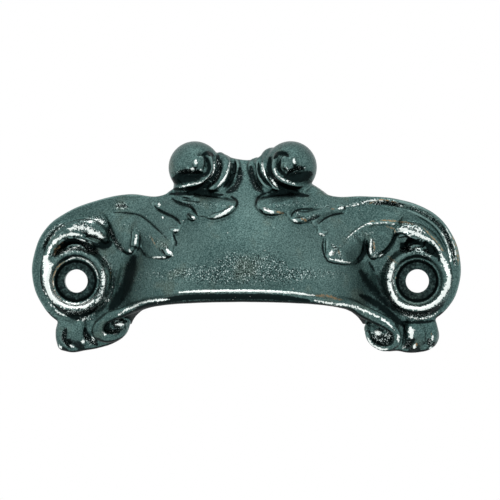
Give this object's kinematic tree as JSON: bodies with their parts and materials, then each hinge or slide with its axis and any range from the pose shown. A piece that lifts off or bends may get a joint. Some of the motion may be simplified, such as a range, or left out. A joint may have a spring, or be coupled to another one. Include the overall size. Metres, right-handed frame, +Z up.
{
  "type": "drawer pull",
  "caption": "Cast hooded drawer pull with scrolled ears, leaf relief and round volutes on its crown, screwed on through the ears.",
  "frame": {"origin": "midway between the two screw holes, on the flat back", "axes": "+X towards the right ear as seen from the front, +Z up towards the volutes, -Y out of the front, away from the drawer"},
  "size_m": [0.0962, 0.0214, 0.0474],
  "materials": {
    "plated_casting": "glossy dark gunmetal plating over a fine cast grain"
  },
  "bodies": {
    "root": {"pull": "plated_casting"}
  },
  "joints": []
}
